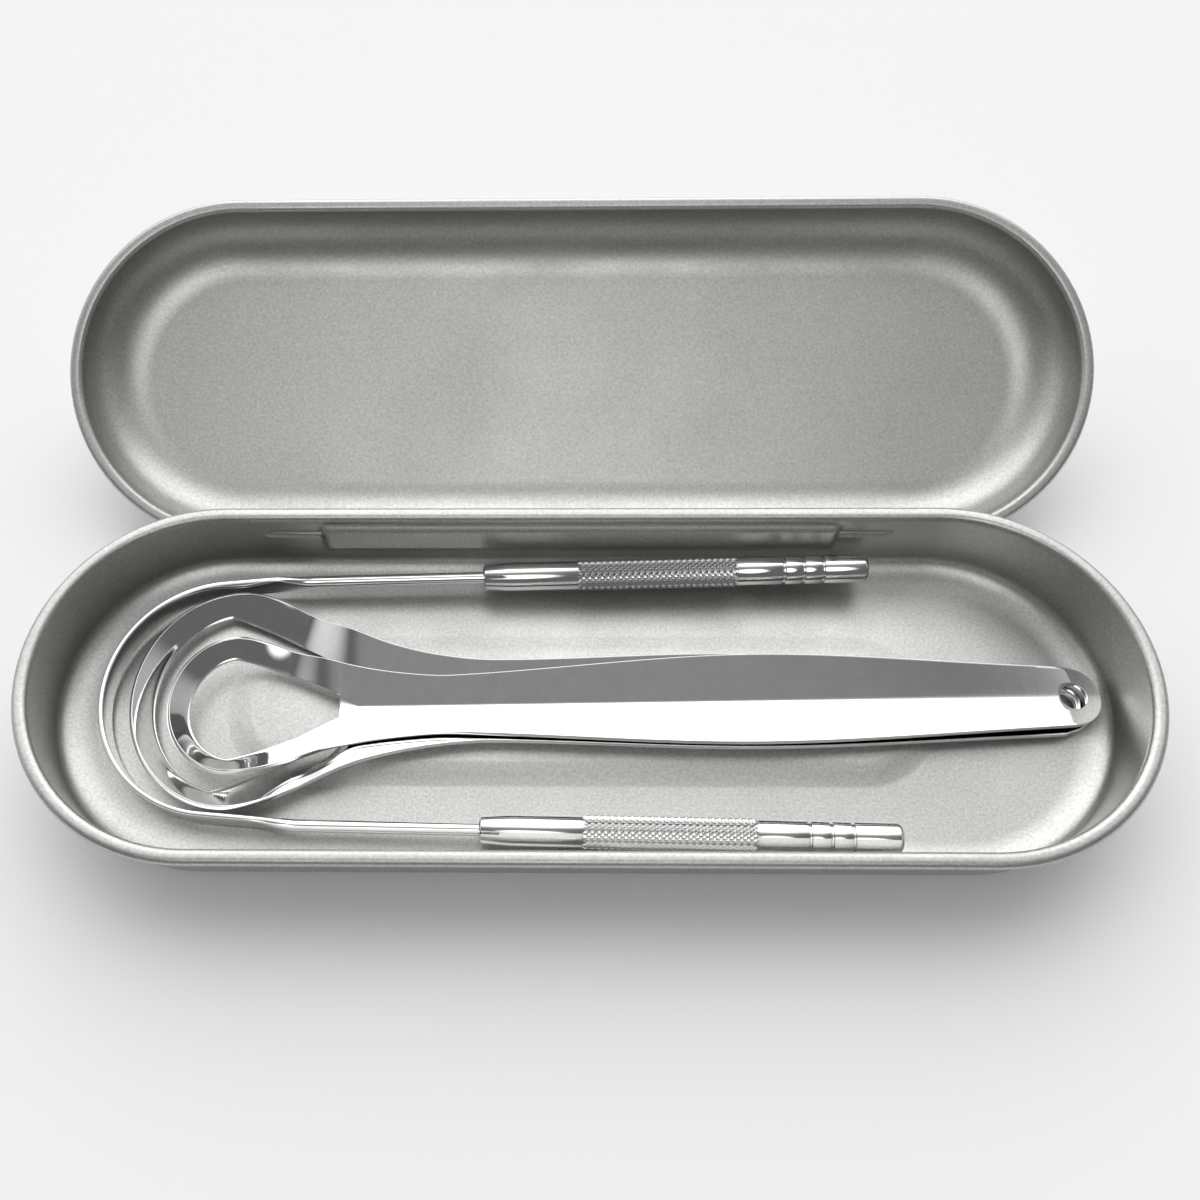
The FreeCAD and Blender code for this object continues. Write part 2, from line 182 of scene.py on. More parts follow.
def dent_press(x, z):
    """How far the thumb dent stands in from the front wall."""
    distance = math.hypot(x, z - dent_height) / dent_radius
    return dent_depth * (1 - smooth(distance))


def press_walls(bm):
    """Presses the well and pockets into the rear wall and the dent into the front wall."""
    for vert in bm.verts:
        x, y, z = vert.co
        on_wall = abs(abs(y) - base_wall) < TINY and abs(x) < end_x
        if on_wall and y > 0:
            vert.co.y += pocket_press(x, z) - well_press(x, z)
        elif on_wall:
            vert.co.y += dent_press(x, z)


def new_piece(name, bm, material, body, node):
    """Turns a finished mesh into a piece that rides on a body and stands for a node."""
    mesh = bpy.data.meshes.new(name)
    bm.to_mesh(mesh)
    bm.free()
    mesh.shade_smooth()
    mesh.materials.append(material)
    piece = bpy.data.objects.new(name, mesh)
    bpy.context.scene.collection.objects.link(piece)
    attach(piece, body)
    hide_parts(node)
    return piece


def thicken(piece, thickness):
    """Gives a sheet its thickness behind the face that shows."""
    wall = piece.modifiers.new("sheet", "SOLIDIFY")
    wall.thickness = thickness
    wall.offset = -1
    wall.use_even_offset = True


def add_noise(nodes, links, place, roughness):
    """Noise of three octaves over a piece's own coordinates."""
    noise = nodes.new("ShaderNodeTexNoise")
    noise.inputs["Detail"].default_value = 3.0
    noise.inputs["Roughness"].default_value = roughness
    links.new(place, noise.inputs["Vector"])
    return noise


def grain_group():
    """Mottled grain of rolled metal: broad clouding, and fine specks of a size in metres."""
    group = bpy.data.node_groups.new("rolled_grain", "ShaderNodeTree")
    group.interface.new_socket("Speck Size", in_out="INPUT", socket_type="NodeSocketFloat")
    group.interface.new_socket("Specks", in_out="OUTPUT", socket_type="NodeSocketFloat")
    group.interface.new_socket("Clouds", in_out="OUTPUT", socket_type="NodeSocketFloat")
    nodes, links = group.nodes, group.links
    given = nodes.new("NodeGroupInput")
    result = nodes.new("NodeGroupOutput")
    place = nodes.new("ShaderNodeTexCoord").outputs["Object"]
    per_metre = nodes.new("ShaderNodeMath")
    per_metre.operation = "DIVIDE"
    per_metre.inputs[0].default_value = 1.0
    links.new(given.outputs["Speck Size"], per_metre.inputs[1])
    specks = add_noise(nodes, links, place, 0.65)
    links.new(per_metre.outputs["Value"], specks.inputs["Scale"])
    links.new(specks.outputs["Fac"], result.inputs["Specks"])
    clouds = add_noise(nodes, links, place, 0.6)
    clouds.inputs["Scale"].default_value = 45.0
    links.new(clouds.outputs["Fac"], result.inputs["Clouds"])
    return group


rolled_grain = grain_group()


def spread(nodes, links, value, low, high):
    """Maps the middle of a noise to a range of values."""
    mapped = nodes.new("ShaderNodeMapRange")
    mapped.inputs["From Min"].default_value = 0.3
    mapped.inputs["From Max"].default_value = 0.7
    mapped.inputs["To Min"].default_value = low
    mapped.inputs["To Max"].default_value = high
    links.new(value, mapped.inputs["Value"])
    return mapped.outputs["Result"]


def metal(name, dark, light, rough, speck_size, bump):
    """Bare metal whose grain varies its tone and gloss and stands up a little."""
    material = bpy.data.materials.new(name)
    material.use_nodes = True
    nodes, links = material.node_tree.nodes, material.node_tree.links
    surface = nodes["Principled BSDF"]
    surface.inputs["Metallic"].default_value = 1.0
    grain = nodes.new("ShaderNodeGroup")
    grain.node_tree = rolled_grain
    grain.inputs["Speck Size"].default_value = speck_size
    tone = nodes.new("ShaderNodeMix")
    tone.data_type = "RGBA"
    tone.inputs["A"].default_value = (*dark, 1.0)
    tone.inputs["B"].default_value = (*light, 1.0)
    links.new(spread(nodes, links, grain.outputs["Specks"], 0.0, 1.0), tone.inputs["Factor"])
    links.new(tone.outputs["Result"], surface.inputs["Base Color"])
    gloss = spread(nodes, links, grain.outputs["Clouds"], *rough)
    links.new(gloss, surface.inputs["Roughness"])
    relief = nodes.new("ShaderNodeBump")
    relief.inputs["Distance"].default_value = bump
    links.new(grain.outputs["Specks"], relief.inputs["Height"])
    links.new(relief.outputs["Normal"], surface.inputs["Normal"])
    return material


tinplate = metal(
    "satin_tinplate", (0.43, 0.43, 0.42), (0.60, 0.60, 0.585), (0.36, 0.46), 0.45 * MM, 0.02 * MM
)

base_line = []
for share in (-panel_edge, panel_edge, 0.5, 1 - panel_edge, 1 + panel_edge):
    reach = panel_reach - panel_slope * (1 - share)
    base_line.append((reach, sheet + panel_rise * min(max(1 - share, 0.0), 1.0)))
base_line += pan_line(base_wall, base_foot, base_foot_rise, base_curl, rim_top, wall_rows=36)
bm = bmesh.new()
sweep_round(bm, base_line, rear_steps=200, front_steps=100)
close_floor(bm)
press_panel(bm)
press_walls(bm)
base = new_piece("tin_base", bm, tinplate, "base", "base_pan")
thicken(base, sheet)

# Tin lid
# A shallower pan of the same sheet, with a larger foot and a finer bead. At the hinge its edge is drawn
# out into a leaf that passes behind the base's rim and is rolled round the pin.
lid_height = 9.5 * MM
lid_curl = 0.8 * MM
lid_bead = 1.8 * MM
lid_wall = half_width - lid_bead - sheet
lid_foot = 9.6 * MM
lid_foot_rise = 7.9 * MM
lid_rim = rim_top + 0.2 * MM
lid_top = lid_rim + lid_height
lid_open = math.radians(hinge["range_deg"][1])
leaf_sheet = 0.35 * MM
leaf_half = well_half - 0.3 * MM
leaf_line = half_width + 0.15 * MM + leaf_sheet
leaf_roll = 0.75 * MM + leaf_sheet
leaf_knee = pin_place.z + 2.0 * MM
leaf_top = lid_rim + lid_curl

pin_shift = Matrix.Translation(pin_place)
fold_back = pin_shift @ Matrix.Rotation(-lid_open, 4, "X") @ pin_shift.inverted()
upside_down = Matrix.Translation((0, 0, lid_top)) @ Matrix.Rotation(math.pi, 4, "X")

bm = bmesh.new()
lid_line = pan_line(lid_wall, lid_foot, lid_foot_rise, lid_curl, lid_height, wall_rows=3)
sweep_round(bm, lid_line, rear_steps=40, front_steps=40)
close_floor(bm)
bmesh.ops.transform(bm, matrix=fold_back @ upside_down, verts=bm.verts)
lid = new_piece("tin_lid", bm, tinplate, "lid", "lid_pan")
thicken(lid, sheet)

bm = bmesh.new()
leaf = arc(pin_place.y, pin_place.z, leaf_roll, -290, 20, 24)
leaf += [(leaf_line, leaf_knee), (leaf_line, leaf_top), (half_width - lid_curl, leaf_top)]
verts = [bm.verts.new((-leaf_half, y, z)) for y, z in leaf]
line = [bm.edges.new(pair) for pair in zip(verts, verts[1:])]
drawn = bmesh.ops.extrude_edge_only(bm, edges=line)["geom"]
bmesh.ops.translate(bm, verts=only(bmesh.types.BMVert, drawn), vec=(2 * leaf_half, 0, 0))
bmesh.ops.recalc_face_normals(bm, faces=bm.faces)
upright = max(bm.faces, key=lambda face: face.calc_center_median().y)
if upright.normal.y < 0:
    bmesh.ops.reverse_faces(bm, faces=bm.faces)
bmesh.ops.solidify(bm, geom=bm.faces, thickness=leaf_sheet)
bmesh.ops.transform(bm, matrix=fold_back, verts=bm.verts)
new_piece("lid_leaf", bm, tinplate, "lid", "lid_pan")

# Hinge pin
# A length of bright drawn wire with its cut ends rounded over. It lies in the two pockets of the base,
# and the lid's leaf turns on it.
pin_radius = 0.7 * MM
pin_half = 51.5 * MM
pin_round = 0.2 * MM


def turned(bm, profile, steps):
    """Spins a line of (along, radius) points full round the X axis and closes both ends."""
    verts = [bm.verts.new((along, 0, radius)) for along, radius in profile]
    line = [bm.edges.new(pair) for pair in zip(verts, verts[1:])]
    bmesh.ops.spin(
        bm, geom=verts + line, cent=(0, 0, 0), axis=(1, 0, 0), angle=2 * math.pi, steps=steps, use_merge=True
    )
    bmesh.ops.remove_doubles(bm, verts=bm.verts, dist=TINY)
    bmesh.ops.recalc_face_normals(bm, faces=bm.faces)


def round_corners(bm, corner, width, segments):
    """Bevels every edge that turns by more than a corner's angle, in degrees."""
    sharp = [e for e in bm.edges if len(e.link_faces) == 2 and e.calc_face_angle() > math.radians(corner)]
    bmesh.ops.bevel(
        bm, geom=sharp, offset=width, segments=segments, profile=0.5, affect="EDGES", material=-1,
        offset_type="OFFSET", clamp_overlap=True,
    )


wire = metal("drawn_wire", (0.58, 0.58, 0.57), (0.70, 0.70, 0.69), (0.14, 0.2), 0.2 * MM, 0.004 * MM)
bm = bmesh.new()
turned(bm, [(-pin_half, 0), (-pin_half, pin_radius), (pin_half, pin_radius), (pin_half, 0)], 24)
round_corners(bm, corner=60, width=pin_round, segments=3)
bmesh.ops.translate(bm, verts=bm.verts, vec=pin_place)
new_piece("hinge_pin_wire", bm, wire, "base", "hinge_pin")

# Bow blade
# One piece of polished steel: a thin strip bent on edge to a U, whose arms flare a little and are drawn
# down to round rods that go into the handles. It leans between the tin's long walls.
bow_radius = 19.9 * MM
bow_roll = math.radians(2.4)
bow_pitch = math.radians(0.8)
bow_place = Vector((-58.4 * MM, 0.4 * MM, 0))
strip_half = 0.4 * MM
strip_rise = 2.5 * MM
strip_round = 0.22 * MM
strip_flare = math.radians(5)
strip_arm = 15.0 * MM
strip_taper = 7.0 * MM
rod_radius = 1.0 * MM
rod_free = 29.0 * MM
rod_grip = 12.0 * MM
floor_gap = 0.25 * MM
wall_gap = 0.5 * MM
strip_stations = (2 * MM, 4 * MM, 6 * MM, 8 * MM)
taper_steps = 10
bow_place.z = sheet + floor_gap + strip_rise + bow_radius * math.sin(bow_roll)
to_tin = Matrix.Translation(bow_place)
to_tin @= Matrix.Rotation(bow_roll, 4, "X")
to_tin @= Matrix.Rotation(-bow_pitch, 4, "Y")
handle_length = 65.0 * MM
handle_radius = 2.45 * MM


def arm_point(distance):
    """Middle of the rear arm, at a distance along it from the end of the U."""
    start = Vector((-math.sin(strip_flare), math.cos(strip_flare), 0)) * bow_radius
    return start + Vector((math.cos(strip_flare), math.sin(strip_flare), 0)) * distance


tail_line = base_wall - well_depth - wall_gap - handle_radius - bow_place.y
rod_flare = math.asin((tail_line - arm_point(strip_arm).y) / (rod_free + handle_length))


def bar_ring(half, rise, edge, steps):
    """Closed ring round a bar's section, half thick across and with rounded edges."""
    ring = []
    for first, across, up in ((0, 1, 1), (90, -1, 1), (180, -1, -1), (270, 1, -1)):
        ring += arc(across * (half - edge), up * (rise - edge), edge, first, first + 90, steps)
    return ring


def loft(bm, rings):
    """Joins closed rings of points, one after another, and caps both ends."""
    loops = []
    for ring in rings:
        verts = [bm.verts.new(point) for point in ring]
        loops.append([bm.edges.new(pair) for pair in zip(verts, verts[1:] + verts[:1])])
    for near, far in zip(loops, loops[1:]):
        bmesh.ops.bridge_loops(bm, edges=near + far)
    for loop in (loops[0], loops[-1]):
        bmesh.ops.edgeloop_fill(bm, edges=loop)
    bmesh.ops.remove_doubles(bm, verts=bm.verts, dist=TINY)
    bmesh.ops.recalc_face_normals(bm, faces=bm.faces)


def set_ring(ring, place, heading):
    """Stands a section's ring upright across a heading at a place."""
    side = Vector((-math.sin(heading), math.cos(heading), 0))
    return [place + side * across + Vector((0, 0, up)) for across, up in ring]


strip = bar_ring(strip_half, strip_rise, strip_round, steps=4)
rod = bar_ring(rod_radius, rod_radius, rod_radius, steps=4)


def arm_rings():
    """Rings along the rear arm: the flat strip, its taper, then the rod into the handle."""
    rings = [set_ring(strip, arm_point(distance), strip_flare) for distance in strip_stations]
    for step in range(1, taper_steps + 1):
        share = step / taper_steps
        ease = smooth(share)
        mixed = []
        for (across, up), (rod_across, rod_up) in zip(strip, rod):
            mixed.append((across + (rod_across - across) * ease, up + (rod_up - up) * ease))
        heading = strip_flare + (rod_flare - strip_flare) * share
        place = arm_point(strip_arm - strip_taper * (1 - share))
        rings.append(set_ring(mixed, place, heading))
    ahead = Vector((math.cos(rod_flare), math.sin(rod_flare), 0))
    for distance in (2 * MM, rod_free / 2, rod_free, rod_free + rod_grip):
        rings.append(set_ring(rod, arm_point(strip_arm) + ahead * distance, rod_flare))
    return rings


def mirror_ring(ring):
    """Carries a ring of the rear arm over to the front arm."""
    return [Vector((p.x, -p.y, p.z)) for p in ring]


bend_steps = 64
bend = []
for step in range(bend_steps + 1):
    turn = math.pi / 2 + strip_flare + (math.pi - 2 * strip_flare) * step / bend_steps
    place = Vector((math.cos(turn), math.sin(turn), 0)) * bow_radius
    bend.append(set_ring(strip, place, turn - math.pi / 2))
arm = arm_rings()
bm = bmesh.new()
loft(bm, list(reversed(arm)) + bend + [mirror_ring(ring) for ring in arm])
bmesh.ops.transform(bm, matrix=to_tin, verts=bm.verts)
steel = metal(
    "polished_steel", (0.76, 0.76, 0.755), (0.82, 0.82, 0.815), (0.03, 0.06), 2.5 * MM, 0.004 * MM
)
new_piece("bow_strip", bm, steel, "bow", "bow_blade")

# Bow handles
# Two turned steel sleeves pressed on the rods: a slit, tapered nose, a polished ferrule, a grip with a
# diamond knurl, and a plain tail with three fine grooves and a rounded end.
nose_radius = 2.15 * MM
nose_length = 4.7 * MM
nose_round = 0.3 * MM
slit_length = 3.2 * MM
slit_depth = 1.0 * MM
slit_turn = math.radians(25)
knurl_start = 16.0 * MM
knurl_length = 27.0 * MM
knurl_crest = 2.6 * MM
knurl_valley = 2.36 * MM
knurl_round = 22
knurl_rows = 51
groove_first = 50.8 * MM
groove_pitch = 3.3 * MM
groove_half = 0.27 * MM
groove_depth = 0.28 * MM
groove_side = 0.1 * MM
tail_round = 0.8 * MM
edge_break = 0.04 * MM
sharp_turn = 32
sleeve_steps = 72


def sleeve_profile():
    """Line of the sleeve from its nose to its tail, with the knurl's ground cut a little deeper."""
    share = slit_length / nose_length
    knurl_end = knurl_start + knurl_length
    line = [
        (0, 0), (0, nose_radius - nose_round), (nose_round, nose_radius),
        (slit_length, nose_radius + (handle_radius - nose_radius) * share), (nose_length, handle_radius),
        (knurl_start, handle_radius), (knurl_start, knurl_valley), (knurl_end, knurl_valley),
        (knurl_end, handle_radius),
    ]
    for index in range(3):
        middle = groove_first + index * groove_pitch
        floor = handle_radius - groove_depth
        line += [(middle - groove_half, handle_radius), (middle - groove_half + groove_side, floor)]
        line += [(middle + groove_half - groove_side, floor), (middle + groove_half, handle_radius)]
    line += arc(handle_length - tail_round, handle_radius - tail_round, tail_round, 90, 0, 6)
    return line + [(handle_length, 0)]


def cut_slit(bm):
    """Presses a narrow slit into the nose, on the side that faces up and forwards."""
    step = 2 * math.pi / sleeve_steps
    column = []
    for face in bm.faces:
        middle = face.calc_center_median()
        turn = math.atan2(-middle.y, middle.z)
        flank = abs(face.normal.x) < 0.9
        if flank and middle.x < slit_length and abs(turn - slit_turn) < step:
            column.append(face)
    ditch = bmesh.ops.extrude_face_region(bm, geom=column)["geom"]
    bmesh.ops.delete(bm, geom=column, context="FACES")
    inward = Vector((0, math.sin(slit_turn), -math.cos(slit_turn))) * slit_depth
    bmesh.ops.translate(bm, verts=only(bmesh.types.BMVert, ditch), vec=inward)


def add_knurl(bm):
    """Rows of four-sided points round the grip, each row half a point on from the last."""
    wide = math.pi / knurl_round
    long = knurl_length / (knurl_rows + 1)
    flat = math.cos(wide)
    rhomb = [(-long, 0), (0, -wide), (long, 0), (0, wide)]
    verts = []
    for along, turn in rhomb:
        place = (knurl_start + long + along, -knurl_valley * math.sin(turn), knurl_valley * math.cos(turn))
        verts.append(bm.verts.new(place))
    first = bm.faces.new(verts)
    first.normal_update()
    if first.normal.z < 0:
        first.normal_flip()
    point = bmesh.ops.poke(bm, faces=[first], offset=knurl_crest - knurl_valley * flat)
    tooth = point["verts"] + verts + point["faces"]
    for row in range(knurl_rows):
        copy = bmesh.ops.duplicate(bm, geom=tooth)["geom"]
        moved = only(bmesh.types.BMVert, copy)
        turn = Matrix.Rotation(wide * (row % 2), 3, "X")
        bmesh.ops.translate(bm, verts=moved, vec=(row * long, 0, 0))
        bmesh.ops.rotate(bm, verts=moved, cent=(0, 0, 0), matrix=turn)
        bmesh.ops.spin(
            bm, geom=copy, cent=(0, 0, 0), axis=(1, 0, 0), angle=2 * (math.pi - wide), steps=knurl_round - 1,
            use_duplicate=True,
        )
    bmesh.ops.delete(bm, geom=only(bmesh.types.BMVert, tooth), context="VERTS")


sleeve_steel = metal(
    "turned_steel", (0.72, 0.72, 0.71), (0.80, 0.80, 0.79), (0.06, 0.1), 0.6 * MM, 0.002 * MM
)


def sleeve(name, node, side):
    """One handle on the rod of the rear arm, side 1, or the front arm, side -1."""
    bm = bmesh.new()
    turned(bm, sleeve_profile(), sleeve_steps)
    cut_slit(bm)
    round_corners(bm, corner=25, width=edge_break, segments=2)
    add_knurl(bm)
    bmesh.ops.remove_doubles(bm, verts=bm.verts, dist=TINY)
    foot = arm_point(strip_arm)
    foot.y *= side
    lay = to_tin @ Matrix.Translation(foot) @ Matrix.Rotation(side * rod_flare, 4, "Z")
    bmesh.ops.transform(bm, matrix=lay @ Matrix.Translation((rod_free, 0, 0)), verts=bm.verts)
    piece = new_piece(name, bm, sleeve_steel, "bow", node)
    piece.data.set_sharp_from_angle(angle=math.radians(sharp_turn))


sleeve("rear_sleeve", "rear_handle", 1)
sleeve("front_sleeve", "front_handle", -1)

# Wide loop scraper
# One pressed sheet of mirror-polished steel: a dished loop whose two arms draw in to a handle folded
# along its middle, with a round tip and a hang hole. It lies on the raised panel of the floor.
loop_sheet = 0.8 * MM
loop_edge = 0.16 * MM
fold_round = 0.25 * MM
hole_radius = 2.1 * MM
hole_inset = 4.4 * MM
tip_round = 4.9 * MM
tip_patch = 5.5 * MM
notch_curve = 1.3
loop_steps = 32
arm_steps = 72
web_steps = 12
handle_steps = 120
tip_side_steps = 4
tip_end_steps = 14
spoke_cuts = 6
bend_shares = (0.2, 0.45)
arm_shape = ((0.1, 0.1), (0.27, 0.37), (0.52, 0.72), (0.75, 0.92), (1.0, 1.0))
across_shares = (0.0, 0.03, 0.08, 0.16, 0.3, 0.5, 0.7, 0.86, 0.95, 1.0)


def through(points, place):
    """Smooth curve through (place, value) points."""
    last = len(points) - 2
    index = max([k for k in range(last + 1) if place >= points[k][0]] or [0])
    (a, low), (b, high) = points[index], points[index + 1]
    before = points[index - 1] if index else (2 * a - b, 2 * low - high)
    after = points[index + 2] if index < last else (2 * b - a, 2 * high - low)
    leave = (high - before[1]) / (b - before[0]) * (b - a)
    arrive = (after[1] - low) / (after[0] - a) * (b - a)
    s = (place - a) / (b - a)
    start = low * (1 + 2 * s) + leave * s
    end = high * (3 - 2 * s) + arrive * (s - 1)
    return start * (1 - s) ** 2 + end * s ** 2


class LoopForm:
    """Form of one loop scraper before it is laid in the tin, along X with its fold on y = 0."""

    def __init__(self, node, radius, flat, band, notch, blunt, mitre, neck_back, backs, halves, slopes):
        low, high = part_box(node)
        self.tip = high.x
        self.level = low.z
        self.radius = radius * MM
        self.flat = flat * MM
        self.opening = (radius - band) * MM
        self.blunt = blunt * MM
        self.mitre = mitre * MM
        self.loop = low.x + self.radius - self.flat
        arm_start = low.x + self.radius
        neck = self.tip - neck_back * MM
        length = neck - arm_start
        self.notch = arm_start + length * notch
        drop = self.radius - halves[0] * MM
        places = [self.tip - back * MM for back in backs]
        arm = [(arm_start + length * a, self.radius - drop * b) for a, b in arm_shape]
        lead = (2 * self.loop - arm[0][0], arm[0][1])
        self.outline = [lead, (self.loop, self.radius)] + arm
        self.outline += [(x, half * MM) for x, half in zip(places, halves[1:])]
        bends = [self.loop] + [arm_start + share * length for share in bend_shares] + [neck] + places
        self.slopes = list(zip(bends, slopes))
        web_share = (1 - self.blunt / self.opening) ** (1 / notch_curve)
        self.web = self.loop + (self.notch - self.loop) * web_share

    def fold(self, x):
        """Half width between the two inner edges, down to the fold of the handle."""
        share = max(x - self.loop, 0.0) / (self.notch - self.loop)
        return self.opening * max(0.0, 1 - share ** notch_curve)

    def half(self, x):
        """Half width of the outline, with the round tip."""
        centre = self.tip - tip_round
        half = through(self.outline, x)
        if x > centre:
            half = min(half, math.sqrt(max(tip_round ** 2 - (x - centre) ** 2, 0.0)))
        return half

    def top(self, x, y):
        """Height of the upper face, which rises from the lowest line out to the edge."""
        slope = through(self.slopes, x)
        middle = (self.loop + self.web) / 2
        lowest = self.fold(x) * (1 - smooth((x - middle) / (self.web - middle)))
        rise = slope * (math.hypot(y - lowest, fold_round) - fold_round)
        return self.level + loop_sheet * math.hypot(1, slope) + rise

    def point(self, x, share):
        """Point of the upper face, with the line where the arm leaves the loop set at a slant."""
        inner = self.fold(x)
        y = inner + (through(self.outline, x) - inner) * share
        reach = self.opening + (self.radius - self.opening) * share
        slant = self.mitre * (1 - share) * (1 - smooth((x - self.loop) / (self.web - self.loop)))
        sunk = reach - math.sqrt(reach ** 2 - slant ** 2)
        return Vector((x - slant * (1 - self.flat / reach), y - sunk, self.top(x, y)))


def loop_front(bm, form):
    """Front of the loop from its middle to the arm: a section spun a quarter turn."""
    verts = []
    for share in across_shares:
        reach = form.opening + (form.radius - form.opening) * share
        verts.append(bm.verts.new((form.loop - reach, 0, form.top(form.loop, reach))))
    line = [bm.edges.new(pair) for pair in zip(verts, verts[1:])]
    centre = Vector((form.loop, 0, 0))
    spun = bmesh.ops.spin(
        bm, geom=verts + line, cent=centre, axis=(0, 0, 1), angle=-math.pi / 2, steps=loop_steps
    )
    for vert in bm.verts:
        arm = vert.co - centre
        reach = math.hypot(arm.x, arm.y)
        share = (reach - form.opening) / (form.radius - form.opening)
        slant = math.asin(form.mitre * (1 - share) / reach)
        turn = math.atan2(arm.y, -arm.x) * (1 - slant / (math.pi / 2))
        vert.co.x = form.loop - (reach - form.flat) * math.cos(turn)
        vert.co.y = reach * math.sin(turn)
    return only(bmesh.types.BMEdge, spun["geom_last"])


def draw_arm(bm, form, line):
    """Arm and handle: the section carried on from a sharp mitre, by stations, to the start of the tip."""
    stop = form.tip - hole_inset - tip_patch
    stations = []
    stretches = (
        (form.loop, form.web, arm_steps), (form.web, form.notch, web_steps), (form.notch, stop, handle_steps)
    )
    for begin, end, steps in stretches:
        stations += [begin + (end - begin) * k / steps for k in range(1, steps + 1)]
    for edge in line:
        edge.smooth = False
    for x in stations:
        drawn = bmesh.ops.extrude_edge_only(bm, edges=line)["geom"]
        verts = sorted(only(bmesh.types.BMVert, drawn), key=lambda vert: vert.co.y)
        for vert, share in zip(verts, across_shares):
            vert.co = form.point(x, share)
        fresh = set(verts)
        line = [e for e in only(bmesh.types.BMEdge, drawn) if fresh.issuperset(e.verts)]
    return line


def round_tip(bm, form, line):
    """Half of the tip: from the last section round the edge, in to the hang hole."""
    hole = form.tip - hole_inset
    centre = form.tip - tip_round
    start = max((v for e in line for v in e.verts), key=lambda vert: vert.co.y)
    near = start.co.x
    side_shares = [k / tip_side_steps for k in range(1, tip_side_steps + 1)]
    end_shares = [k / tip_end_steps for k in range(1, tip_end_steps + 1)]
    places = [near + (centre - near) * share for share in side_shares]
    places += [centre + tip_round * math.sin(math.pi / 2 * share) for share in end_shares]
    chain = [start] + [bm.verts.new((x, form.half(x), 0)) for x in places]
    outer = line + [bm.edges.new(pair) for pair in zip(chain, chain[1:])]
    ring = [bm.verts.new((x, max(y, 0.0), 0)) for x, y in arc(hole, 0, hole_radius, 180, 0, len(outer))]
    inner = [bm.edges.new(pair) for pair in zip(ring, ring[1:])]
    bridge = bmesh.ops.bridge_loops(bm, edges=outer + inner)
    spokes = [e for e in bridge["edges"] if e not in outer and e not in inner]
    bmesh.ops.subdivide_edges(bm, edges=spokes, cuts=spoke_cuts, use_grid_fill=True)
    for vert in bm.verts:
        if vert.co.x > near - TINY:
            vert.co.z = form.top(vert.co.x, vert.co.y)


def close_web(bm, form):
    """Carries the sheet in to the fold where the opening ends bluntly."""
    inner = []
    for edge in bm.edges:
        middle = (edge.verts[0].co + edge.verts[1].co) / 2
        if edge.is_boundary and form.web < middle.x < form.notch and middle.y < form.blunt:
            inner.append(edge)
    drawn = bmesh.ops.extrude_edge_only(bm, edges=inner)["geom"]
    for vert in only(bmesh.types.BMVert, drawn):
        vert.co.y = 0.0
        vert.co.z = form.top(vert.co.x, 0.0)


def loop_scraper(name, node, body, form, yaw, shift):
    """One scraper from its form: half a sheet, mirrored, thickened, rounded and laid in the tin."""
    bm = bmesh.new()
    line = draw_arm(bm, form, loop_front(bm, form))
    round_tip(bm, form, line)
    close_web(bm, form)
    bmesh.ops.remove_doubles(bm, verts=bm.verts, dist=TINY)
    half = bm.verts[:] + bm.edges[:] + bm.faces[:]
    bmesh.ops.mirror(bm, geom=half, matrix=Matrix.Identity(4), merge_dist=TINY, axis="Y")
    bmesh.ops.remove_doubles(bm, verts=bm.verts, dist=TINY)
    bmesh.ops.recalc_face_normals(bm, faces=bm.faces)
    if sum(face.normal.z for face in bm.faces) < 0:
        bmesh.ops.reverse_faces(bm, faces=bm.faces)
    bmesh.ops.solidify(bm, geom=bm.faces, thickness=loop_sheet)
    round_corners(bm, corner=55, width=loop_edge, segments=3)
    lay = Matrix.Translation((0, shift, 0)) @ Matrix.Rotation(math.radians(yaw), 4, "Z")
    bmesh.ops.transform(bm, matrix=lay, verts=bm.verts)
    new_piece(name, bm, steel, body, node)


wide_form = LoopForm(
    "wide_loop_scraper", radius=18.6, flat=1.8, band=3.0, notch=0.56, blunt=2.4, mitre=3.2, neck_back=97.4,
    backs=(55.4, 10.4, 0.0), halves=(7.1, 8.1, 5.6, 4.9),
    slopes=(1.03, 0.44, 0.31, 0.29, 0.285, 0.16, 0.08),
)
loop_scraper("wide_loop_sheet", "wide_loop_scraper", "wide", wide_form, yaw=-0.1, shift=0.35 * MM)

# Narrow loop scraper
# A second scraper pressed from the same polished sheet, with a smaller loop. It is loose too, and lies
# on the wide one with its handle in the other's fold.
narrow_form = LoopForm(
    "narrow_loop_scraper", radius=11.4, flat=1.0, band=2.6, notch=0.56, blunt=1.9, mitre=1.2, neck_back=105.6,
    backs=(56.6, 10.6, 0.0), halves=(4.95, 7.6, 5.4, 4.7),
    slopes=(1.1, 0.44, 0.31, 0.29, 0.285, 0.16, 0.08),
)
loop_scraper("narrow_loop_sheet", "narrow_loop_scraper", "narrow", narrow_form, yaw=1.0, shift=-0.4 * MM)

# Camera
# Looks down from the front, at the angle and distance fitted to the rims. Focal length and optical centre
# are in pixels of the photo's 1200-pixel frame, whose centre lies to the right of the optical one.
scene = bpy.context.scene
scene.view_settings.view_transform = "Standard"
photo_side = 1200
focal = 1169.676
optical_centre = 505.092
camera_rise = math.radians(63.486)
camera_yaw = math.radians(2.521)
camera_roll = math.radians(-2.242)
camera_target = Vector((-12.632, 20.527, 0)) * MM
camera_distance = 204.372 * MM
back = Vector((
    math.sin(camera_yaw) * math.cos(camera_rise), -math.cos(camera_yaw) * math.cos(camera_rise),
    math.sin(camera_rise),
))
right = (-back).cross(Vector((0, 0, 1))).normalized()
up = right.cross(-back)
turn = Matrix((right, up, back)).transposed() @ Matrix.Rotation(camera_roll, 3, "Z")
camera = bpy.data.objects.new("camera", bpy.data.cameras.new("camera"))
